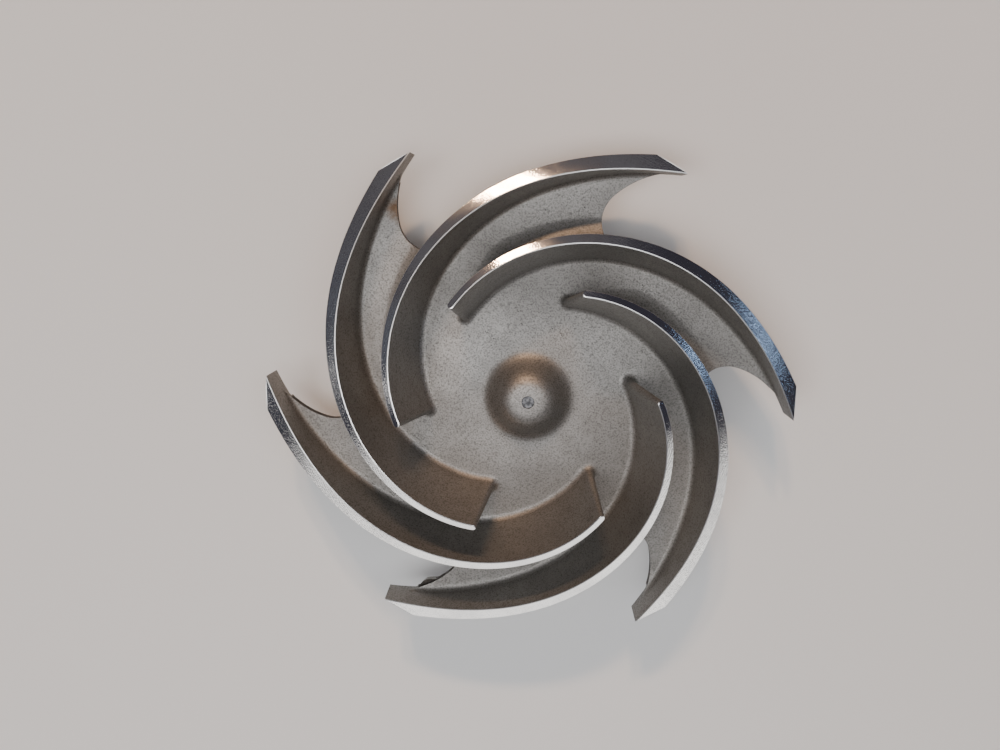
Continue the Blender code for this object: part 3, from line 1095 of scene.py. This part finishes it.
class Bench:
    """A material's node tree with short ways to add nodes."""

    def __init__(self, name: str) -> None:
        """Makes an empty Principled material."""
        self.material = bpy.data.materials.new(name)
        self.material.use_nodes = True
        self.tree = self.material.node_tree
        self.shader = self.tree.nodes["Principled BSDF"]

    def node(self, kind: str, settings: dict[str, object], inputs: dict[str, object],
             output: str | int = 0) -> Signal:
        """Adds one node.

        Args:
            kind: Type of the node.
            settings: Its own properties, which are set first.
            inputs: Values or signals for its sockets, by name or number.
            output: Which output to hand back.

        Returns:
            That output as a signal.
        """
        made = self.tree.nodes.new(kind)
        for name, value in settings.items():
            setattr(made, name, value)
        for name, value in inputs.items():
            self.feed(made.inputs[name], value)
        return Signal(self.tree, made.outputs[output])

    def feed(self, socket: bpy.types.NodeSocket, value: object) -> None:
        """Sets or links one socket."""
        if isinstance(value, Signal):
            self.tree.links.new(value.socket, socket)
        else:
            socket.default_value = value

    def place(self) -> Signal:
        """Object coordinates."""
        return self.node("ShaderNodeTexCoord", {}, {}, "Object")

    def axis(self, vector: Signal, name: str) -> Signal:
        """One axis of a vector."""
        return self.node("ShaderNodeSeparateXYZ", {}, {0: vector}, name)

    def noise(self, vector: Signal, layer: Layer) -> Signal:
        """Noise values of a layer, about 0.5."""
        return self.node("ShaderNodeTexNoise", {"noise_dimensions": "3D"},
                         {"Vector": vector, "Scale": layer.scale, "Detail": layer.detail,
                          "Roughness": layer.rough}, "Fac")

    def mask(self, vector: Signal, layer: Layer) -> Signal:
        """Where a layer shows, from 0 to 1."""
        return self.noise(vector, layer).above(*layer.limits)

    def speckle(self, vector: Signal, scale: float) -> Signal:
        """Distance to the nearest of many scattered points, in cells."""
        return self.node("ShaderNodeTexVoronoi", {"feature": "F1"},
                         {"Vector": vector, "Scale": scale, "Randomness": 1.0}, "Distance")

    def blend(self, share: Signal | float, first: object, second: object) -> Signal:
        """Mixes two colours."""
        made = self.tree.nodes.new("ShaderNodeMix")
        made.data_type = "RGBA"
        self.feed(made.inputs[0], share)
        self.feed(made.inputs[6], first)
        self.feed(made.inputs[7], second)
        return Signal(self.tree, made.outputs[2])

    def bump(self, height: Signal, distance: float, strength: float) -> Signal:
        """Bump from a height signal."""
        return self.node("ShaderNodeBump", {},
                         {"Height": height, "Distance": distance, "Strength": strength})

    def away(self, vector: Signal, spot: Point) -> Signal:
        """Distance from a spot."""
        return self.node("ShaderNodeVectorMath", {"operation": "DISTANCE"}, {0: vector, 1: spot}, "Value")

    def finish(self, colour: object, roughness: object, metallic: float = 1.0) -> bpy.types.Material:
        """Sets or links the finish's main sockets and hands the material back."""
        self.feed(self.shader.inputs["Base Color"], colour)
        self.feed(self.shader.inputs["Roughness"], roughness)
        self.shader.inputs["Metallic"].default_value = metallic
        return self.material


@dataclass(frozen=True)
class BlastedCasting:
    """Satin blasted stainless casting with grain, small pits, cloudy patches and one brown stain."""

    name: str = "blasted_casting"
    colour: Colour = (0.38, 0.366, 0.346, 1.0)
    cloud_colour: Colour = (0.235, 0.224, 0.21, 1.0)
    grain_colour: Colour = (0.13, 0.125, 0.118, 1.0)
    pit_colour: Colour = (0.035, 0.032, 0.03, 1.0)
    stain_colour: Colour = (0.16, 0.085, 0.04, 1.0)
    clouds: Layer = Layer(26.0, 4.0, (0.36, 0.72), 0.45)
    mottle: Layer = Layer(120.0, 3.0, (0.40, 0.75), 0.35)
    grain: Layer = Layer(1200.0, 2.0, (0.46, 0.72), 0.75, 0.6)
    pitted: Layer = Layer(240.0, 2.0, (0.54, 0.64), 0.6)
    pit_scale: float = 700.0
    pit_limits: Flat = (0.10, 0.22)
    peel: Layer = Layer(420.0, 2.0)
    peel_height: float = 0.6
    roughness: float = 0.60
    cloud_roughness: float = 0.08
    grain_roughness: float = 0.16
    relief: Flat = (0.00016, 0.7)
    stain_place: Point = (-0.0625, 0.0885, 0.028)
    stain_reach: float = 0.008
    stain_core: float = 0.25
    stain_fray: Layer = Layer(260.0, 4.0, share=1.3)
    stain_share: float = 0.85
    pinhole_core: float = 0.55
    pinhole_places: tuple[tuple[Point, float], ...] = (
        ((0.0183, 0.0382, 0.0341), 0.00050), ((0.0342, -0.0600, 0.0316), 0.00042),
        ((-0.0293, 0.0281, 0.0345), 0.00042))

    def build(self) -> bpy.types.Material:
        """Makes the material."""
        bench = Bench(self.name)
        place = bench.place()
        clouds, grain = bench.mask(place, self.clouds), bench.noise(place, self.grain)
        dots = 1.0 - bench.speckle(place, self.pit_scale).above(*self.pit_limits)
        pits = dots * bench.mask(place, self.pitted)
        holes = (pits * self.pitted.share).most(self.pinholes(bench, place))
        shade = bench.blend(clouds * self.clouds.share, self.colour, self.cloud_colour)
        shade = bench.blend(bench.mask(place, self.mottle) * self.mottle.share, shade, self.cloud_colour)
        shade = bench.blend(grain.above(*self.grain.limits) * self.grain.share, shade, self.grain_colour)
        shade = bench.blend(holes, shade, self.pit_colour)
        shade = bench.blend(self.stain(bench, place) * self.stain_share, shade, self.stain_colour)
        rough = (clouds - 0.5) * self.cloud_roughness + (grain - 0.5) * self.grain_roughness
        height = grain + bench.noise(place, self.peel) * self.peel_height - pits
        bench.feed(bench.shader.inputs["Normal"], bench.bump(height, *self.relief))
        return bench.finish(shade, rough + self.roughness)

    def stain(self, bench: Bench, place: Signal) -> Signal:
        """Mask of the brown stain beside one vane's foot."""
        edge = (bench.noise(place, self.stain_fray) - 0.5) * (self.stain_fray.share * self.stain_reach)
        reach = bench.away(place, self.stain_place) + edge
        return 1.0 - reach.above(self.stain_core * self.stain_reach, self.stain_reach)

    def pinholes(self, bench: Bench, place: Signal) -> Signal:
        """Mask of the few round pinholes in the shroud."""
        holes = None
        for spot, size in self.pinhole_places:
            hole = 1.0 - bench.away(place, spot).above(self.pinhole_core * size, size)
            holes = hole if holes is None else holes.most(hole)
        return holes


@dataclass(frozen=True)
class MachinedSteel:
    """Bright turned steel, with a fine crawl that breaks up its reflections, most on two sides."""

    name: str = "machined_steel"
    colour: Colour = (0.66, 0.65, 0.64, 1.0)
    dull_colour: Colour = (0.36, 0.355, 0.36, 1.0)
    crawl: Layer = Layer(1300.0, 2.0, (0.5, 0.8), 0.35, 0.6)
    patches: Layer = Layer(70.0, 3.0, (0.4, 0.7), 0.35)
    roughness: float = 0.09
    crawl_roughness: float = 0.12
    patch_roughness: float = 0.06
    groove_pitch: float = 0.0011
    groove_depth: float = 0.05
    groove_waver: float = 2.5
    calm: float = 0.25
    calm_to: float = 0.045
    rough_from: float = 0.075
    relief: Flat = (0.00016, 0.8)

    def build(self) -> bpy.types.Material:
        """Makes the material."""
        bench = Bench(self.name)
        place = bench.place()
        crawl, patches = bench.noise(place, self.crawl), bench.mask(place, self.patches)
        dulled = patches * self.patches.share + crawl.above(*self.crawl.limits) * self.crawl.share
        rough = (crawl - 0.5) * self.crawl_roughness + patches * self.patch_roughness + self.roughness
        x, y = bench.axis(place, "X"), bench.axis(place, "Y")
        radius = (x * x + y * y).maths("SQRT")
        turns = radius * (2.0 * math.pi / self.groove_pitch) + crawl * self.groove_waver
        aside = x.maths("ABSOLUTE").above(self.calm_to, self.rough_from)
        height = crawl + turns.maths("SINE") * self.groove_depth
        height = height * (aside * (1.0 - self.calm) + self.calm)
        bench.feed(bench.shader.inputs["Normal"], bench.bump(height, *self.relief))
        return bench.finish(bench.blend(dulled, self.colour, self.dull_colour), rough)


@dataclass(frozen=True)
class PlainFinish:
    """A finish that is the same all over, such as the painted highlight on the vanes' edge line or a matt
    floor.
    """

    name: str
    colour: Colour
    roughness: float
    metallic: float = 1.0

    def build(self) -> bpy.types.Material:
        """Makes the material."""
        return Bench(self.name).finish(self.colour, self.roughness, self.metallic)


@dataclass(frozen=True)
class MottledFinish:
    """A dull metal whose colour changes in small patches, such as the painted shade on cut edges or a
    dimpled seat.

    Attributes:
        patches: Where the second colour takes over from the first.
        relief: Depth and strength of the dimples, if it has any.
    """

    name: str
    first: Colour
    second: Colour
    roughness: float
    patches: Layer
    relief: Flat | None = None

    def build(self) -> bpy.types.Material:
        """Makes the material."""
        bench = Bench(self.name)
        patches = bench.noise(bench.place(), self.patches)
        if self.relief is not None:
            bench.feed(bench.shader.inputs["Normal"], bench.bump(patches, *self.relief))
        shade = bench.blend(patches.above(*self.patches.limits), self.first, self.second)
        return bench.finish(shade, self.roughness)


# Painted highlight: the chamfer along each vane's concave front edge is real, but it is painted brighter
# than the machined steel so that it reads as a bright line.
PAINTED_HIGHLIGHT_EDGE = PlainFinish("painted_highlight_edge", (0.80, 0.79, 0.77, 1.0), 0.32)
# Painted shade: the scallops' cut edges and the ledges round the ribs' outer ends are painted near black
# to stand in for the shade they face.
PAINTED_SHADE_EDGE = MottledFinish("painted_shade_edge", (0.060, 0.052, 0.046, 1.0), (0.12, 0.108, 0.098, 1.0), 0.6,
                          Layer(400.0, 3.0, (0.45, 0.7)))
CENTRE_MARK = MottledFinish("centre_mark", (0.07, 0.07, 0.074, 1.0), (0.20, 0.20, 0.208, 1.0), 0.5,
                            Layer(700.0, 2.0, (0.40, 0.60)), (0.0002, 0.5))
PALE_FLOOR = PlainFinish("pale_floor", (0.80, 0.795, 0.785, 1.0), 0.75, 0.0)


@dataclass
class Impeller:
    """The whole casting, assembled from its turned body, vane feet, scallops, vanes and ribs."""

    contours: Contours
    smooth_angle: float = 32.0
    skin: float = 0.0003
    edge_lean: float = math.radians(9.0)
    edge_lean_most: float = math.radians(36.0)
    vane_least: float = 0.01
    cut_most: float = 0.012
    upright: float = 0.02
    facing_up: float = 0.9
    trim_radii: Flat = (0.038, 0.135)
    trim_depth: float = 0.004
    trim_steps: int = 96

    def build(self) -> list[bpy.types.Object]:
        """Builds and dresses every piece.

        Returns:
            The finished pieces.
        """
        vanes = Vane(self.contours)
        hub = ShroudAndHub(self.contours)
        ribs = PumpOutRib(self.contours, vanes.root_law)
        casting = hub.build()
        casting.name = "impeller_casting_dressed"
        Shaper.combine(casting, vanes.build_feet(), Cut.JOIN)
        scallops = Scallops(self.contours, vanes.root_law)
        Shaper.combine(casting, scallops.build(), Cut.REMOVE)
        scallops.round_edges(casting)
        Shaper.combine(casting, vanes.build(), Cut.JOIN)
        Shaper.combine(casting, self.back_trim(), Cut.REMOVE)
        for rib in ribs.build():
            Shaper.combine(casting, rib, Cut.JOIN)
        Shaper.smooth(casting, self.smooth_angle)
        thread = ShaftThread().build()
        Shaper.smooth(thread, self.smooth_angle)
        self.dress(casting, thread, hub, ribs, scallops)
        return [casting, thread]

    def back_trim(self) -> bpy.types.Object:
        """Ring that trims the vanes' feet flush with the shroud's rear face."""
        back, (inner, outer) = self.contours.shroud_back, self.trim_radii
        low = back - self.trim_depth
        ring = [(inner, back), (outer, back), (outer, low), (inner, low), (inner, back)]
        return Shaper.turned("back_trim", ring, self.trim_steps)

    def dress(self, casting: bpy.types.Object, thread: bpy.types.Object,
              hub: ShroudAndHub, ribs: PumpOutRib, scallops: Scallops) -> None:
        """Gives both pieces their finishes and attaches them to the root body.

        Args:
            casting: The casting.
            thread: The bore's thread.
            hub: The turned body that the casting was made from.
            ribs: Its ribs.
            scallops: Its scallops.
        """
        contours, skin = self.contours, self.skin
        machined = MachinedSteel().build()
        for piece in (casting, thread):
            piece.data.materials.clear()
        finishes = {Slot.CAST: BlastedCasting().build(), Slot.MACHINED: machined,
                    Slot.MARK: CENTRE_MARK.build(), Slot.EDGE_LINE: PAINTED_HIGHLIGHT_EDGE.build(),
                    Slot.CUT_EDGE: PAINTED_SHADE_EDGE.build()}
        for slot in Slot:
            casting.data.materials.append(finishes[slot])
        thread.data.materials.append(machined)

        def cut_by_the_lathe(centre: Vector, normal: Vector) -> bool:
            """Whether a face is machined, from its place."""
            radius = math.hypot(centre.x, centre.y)
            front = (centre.z > contours.front(radius) - skin
                     and centre.z > contours.shroud_front + self.vane_least)
            rim = radius > contours.outer_radius - skin
            rib = (abs(centre.z - (contours.shroud_back - ribs.height)) < 0.5 * skin
                   and radius > hub.hub_root_radius)
            boss = radius < hub.hub_radius + skin and centre.z < hub.straight_height()
            bore = radius < hub.bore_radius + skin and centre.z < hub.bore_depth + hub.drill_cone
            return front or rim or rib or boss or bore

        def on_the_edge_line(centre: Vector, normal: Vector) -> bool:
            """Whether a face is in the narrow chamfer between a vane's concave wall and its front."""
            radius = math.hypot(centre.x, centre.y)
            near = abs(contours.front(radius) - centre.z) < skin and centre.z > contours.tip_front - skin
            fall = math.atan2(contours.front(radius - skin) - contours.front(radius + skin), 2.0 * skin)
            outwards = Vector((centre.x, centre.y, 0.0)).normalized() * math.sin(fall)
            lean = normal.angle(outwards + Vector((0.0, 0.0, math.cos(fall))), math.pi)
            return near and self.edge_lean < lean < self.edge_lean_most

        def in_a_scallop(centre: Vector, normal: Vector) -> bool:
            """Whether a face is in a scallop's cut edge, or round the outer end of a rib behind it."""
            radius = math.hypot(centre.x, centre.y)
            # The ledge round a rib's outer end takes the painted shade too.
            if ribs.outer - ribs.width < radius < contours.blank_radius + ribs.width:
                ledge = contours.shroud_back + 0.5 * contours.shroud_thickness
                if abs(centre.z - ledge) < skin and normal.z > self.facing_up:
                    return True
            top = contours.shroud(radius) + self.cut_most
            upright = abs(normal.z) < self.upright and contours.shroud_back < centre.z < top
            inside = hub.hub_root_radius < radius < contours.blank_radius - skin
            return upright and inside and scallops.near(centre)

        def in_the_mark(centre: Vector, normal: Vector) -> bool:
            """Whether a face is in the centre mark."""
            radius = math.hypot(centre.x, centre.y)
            return radius < hub.mark_radius - 0.1 * skin and centre.z > contours.tip_front

        Shaper.paint(casting, Slot.CAST, lambda centre, normal: True)
        Shaper.paint(casting, Slot.MACHINED, cut_by_the_lathe)
        Shaper.paint(casting, Slot.MARK, in_the_mark)
        # The chamfers along the vanes' concave front edges take the painted highlight.
        Shaper.paint(casting, Slot.EDGE_LINE, on_the_edge_line)
        Shaper.crease(casting, Slot.EDGE_LINE)
        # The scallops' cut edges and the rib-end ledges take the painted shade.
        Shaper.paint(casting, Slot.CUT_EDGE, in_a_scallop)
        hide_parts(CASTING_NODE)
        for piece in (casting, thread):
            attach(piece, BODY)
            LOG.info("%s: %d faces", piece.name, len(piece.data.polygons))


@dataclass
class SoftLight:
    """One soft rectangular light that faces the impeller."""

    name: str
    place: Point
    width: float
    depth: float
    radiance: float
    colour: tuple[float, float, float]
    aim: Point = (0.0, 0.0, 0.04)

    def build(self) -> None:
        """Adds the light."""
        data = bpy.data.lights.new(self.name, "AREA")
        data.shape = "RECTANGLE"
        data.size, data.size_y = self.width, self.depth
        data.energy = self.radiance * self.width * self.depth
        data.color = self.colour
        thing = bpy.data.objects.new(self.name, data)
        thing.location = self.place
        look = Vector(self.aim) - Vector(self.place)
        thing.rotation_euler = look.to_track_quat("-Z", "Y").to_euler()
        bpy.context.scene.collection.objects.link(thing)


@dataclass
class Studio:
    """Camera at the photo's place, pale floor and soft lights."""

    image_width: float = 1000.0
    focal_pixels: float = 830.3
    sensor: float = 36.0
    clip: Flat = (0.01, 50.0)
    camera_place: Point = (0.00135, 0.08557, 0.43056)
    camera_right: Point = (0.99928, 0.0, -0.037941)
    camera_up: Point = (-0.007102, 0.982324, -0.187052)
    floor_size: float = 12.0
    floor_drop: float = 0.0002
    world_colour: Colour = (0.046, 0.044, 0.060, 1.0)
    lights: tuple[SoftLight, ...] = (
        SoftLight("overhead", (-0.28, -0.07, 1.25), 0.9, 0.45, 20.0, (0.985, 0.99, 1.0),
                  (-0.28, -0.07, 0.0)),
        SoftLight("overhead_fill", (0.0, 0.1, 1.30), 1.9, 1.9, 0.4, (0.95, 0.975, 1.0), (0.0, 0.1, 0.0)),
        SoftLight("overhead_right", (0.48, 0.12, 1.15), 0.6, 0.5, 6.0, (0.95, 0.97, 1.0)),
        SoftLight("front_card", (0.02, -1.06, 0.30), 0.94, 0.36, 5.6, (1.0, 0.985, 0.96)),
        SoftLight("front_card_left", (-0.73, -0.77, 0.30), 0.79, 0.36, 5.6, (1.0, 0.985, 0.96)),
        SoftLight("front_card_right", (0.756, -0.743, 0.30), 0.79, 0.36, 5.6, (1.0, 0.985, 0.96)),
        SoftLight("front_near", (0.0, -0.5, 0.16), 1.0, 0.3, 0.9, (1.0, 0.97, 0.92)),
        SoftLight("back_card", (-0.23, 1.28, 0.95), 3.6, 0.6, 0.28, (1.0, 0.95, 0.92)),
        SoftLight("lamp_left", (-0.454, 2.336, 1.826), 0.16, 0.16, 850.0, (1.0, 0.64, 0.40)),
        SoftLight("lamp_right", (-0.125, 2.377, 1.826), 0.16, 0.16, 950.0, (1.0, 0.64, 0.40)),
        SoftLight("side_window", (1.76, 0.12, 0.94), 0.22, 0.22, 15.0, (0.44, 0.65, 1.0)),
        SoftLight("left_window", (-1.79, -0.16, 0.90), 0.14, 0.14, 12.0, (1.0, 0.97, 0.94)),
        SoftLight("left_wall", (-1.5, 0.1, 1.15), 1.2, 0.8, 0.4, (0.82, 0.90, 1.0)),
    )

    def camera(self) -> None:
        """Places the camera as solved from the photo."""
        data = bpy.data.cameras.new("camera")
        data.sensor_width = self.sensor
        data.lens = self.focal_pixels / self.image_width * self.sensor
        data.clip_start, data.clip_end = self.clip
        thing = bpy.data.objects.new("camera", data)
        bpy.context.scene.collection.objects.link(thing)
        right, up = Vector(self.camera_right).normalized(), Vector(self.camera_up).normalized()
        turn = Matrix((right, up, right.cross(up))).transposed().to_4x4()
        thing.matrix_world = Matrix.Translation(self.camera_place) @ turn
        bpy.context.scene.camera = thing

    def floor(self) -> None:
        """Lays the floor under the hub."""
        Shaper.deselect()
        bpy.ops.mesh.primitive_plane_add(size=self.floor_size, location=(0.0, 0.0, -self.floor_drop))
        thing = Shaper.start("floor")
        thing.data.materials.append(PALE_FLOOR.build())

    def world(self) -> None:
        """Sets an even dim surround."""
        world = bpy.data.worlds.new("surround")
        world.use_nodes = True
        world.node_tree.nodes["Background"].inputs["Color"].default_value = self.world_colour
        bpy.context.scene.world = world

    def build(self) -> None:
        """Builds the whole stage."""
        self.camera()
        self.floor()
        self.world()
        for light in self.lights:
            light.build()


def main() -> None:
    """Builds the stage and the impeller."""
    logging.basicConfig(level=logging.INFO, format="%(name)s: %(message)s")
    Studio().build()
    Impeller(Contours()).build()


if __name__ == "__main__":
    main()
